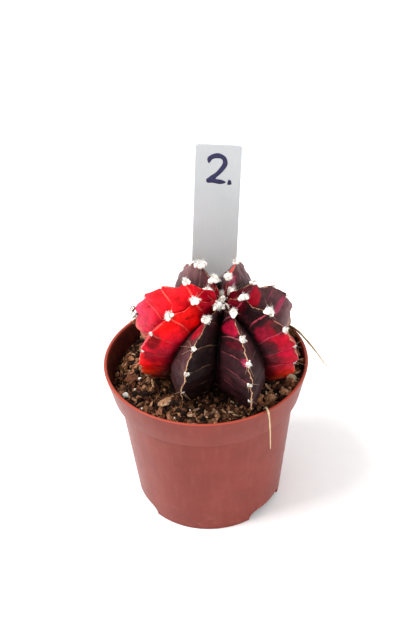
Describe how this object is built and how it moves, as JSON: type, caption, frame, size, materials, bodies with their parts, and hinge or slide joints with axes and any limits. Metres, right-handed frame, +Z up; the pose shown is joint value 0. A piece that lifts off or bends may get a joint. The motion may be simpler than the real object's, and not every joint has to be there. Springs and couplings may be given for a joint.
{
  "type": "potted cactus",
  "caption": "Small ribbed moon cactus, red and dark purple, growing in soil in a round terracotta-coloured plastic pot with a plant label.",
  "frame": {"origin": "centre of the pot's flat base", "axes": "+Z up out of the pot, -Y towards the front of the plant, +X to the viewer's right"},
  "size_m": [0.0601, 0.055, 0.0948],
  "materials": {
    "terracotta_plastic": "satin",
    "potting_soil": "matte",
    "cactus_flesh": "satin",
    "areole_wool": "matte",
    "label_plastic": "satin",
    "dry_straw": "matte",
    "bark": "matte",
    "dry_root": "matte",
    "wood_chip": "matte",
    "pebble_stone": "matte",
    "perlite": "matte"
  },
  "bodies": {
    "root": {"areole_rib_1_1": "areole_wool", "areole_rib_1_2": "areole_wool", "areole_rib_1_3": "areole_wool", "areole_rib_1_4": "areole_wool", "areole_rib_1_5": "areole_wool", "areole_rib_2_1": "areole_wool", "areole_rib_2_2": "areole_wool", "areole_rib_2_3": "areole_wool", "areole_rib_2_4": "areole_wool", "areole_rib_3_1": "areole_wool", "areole_rib_3_2": "areole_wool", "areole_rib_3_3": "areole_wool", "areole_rib_3_4": "areole_wool", "areole_rib_3_5": "areole_wool", "areole_rib_4_1": "areole_wool", "areole_rib_4_2": "areole_wool", "areole_rib_4_3": "areole_wool", "areole_rib_4_4": "areole_wool", "areole_rib_5_1": "areole_wool", "areole_rib_5_2": "areole_wool", "areole_rib_5_3": "areole_wool", "areole_rib_5_4": "areole_wool", "areole_rib_6_1": "areole_wool", "areole_rib_6_2": "areole_wool", "areole_rib_6_3": "areole_wool", "areole_rib_6_4": "areole_wool", "areole_rib_6_5": "areole_wool", "areole_rib_7_1": "areole_wool", "areole_rib_7_2": "areole_wool", "areole_rib_7_3": "areole_wool", "areole_rib_7_4": "areole_wool", "areole_rib_7_5": "areole_wool", "areole_rib_8_1": "areole_wool", "areole_rib_8_2": "areole_wool", "areole_rib_8_3": "areole_wool", "areole_rib_8_4": "areole_wool", "bark_flake_back": "bark", "bark_flake_left": "bark", "cactus_body": "cactus_flesh", "chip_front": "wood_chip", "crown_wool": "areole_wool", "curled_chip": "wood_chip", "double_lump": "wood_chip", "pebble_right": "pebble_stone", "perlite_back": "perlite", "perlite_front": "perlite", "perlite_left": "perlite", "plant_label": "label_plastic", "plant_pot": "terracotta_plastic", "potting_soil": "potting_soil", "root_debris": "dry_root", "root_strand_left": "dry_root", "round_lump": "wood_chip", "straw_front": "dry_straw", "straw_right": "dry_straw"}
  },
  "joints": []
}
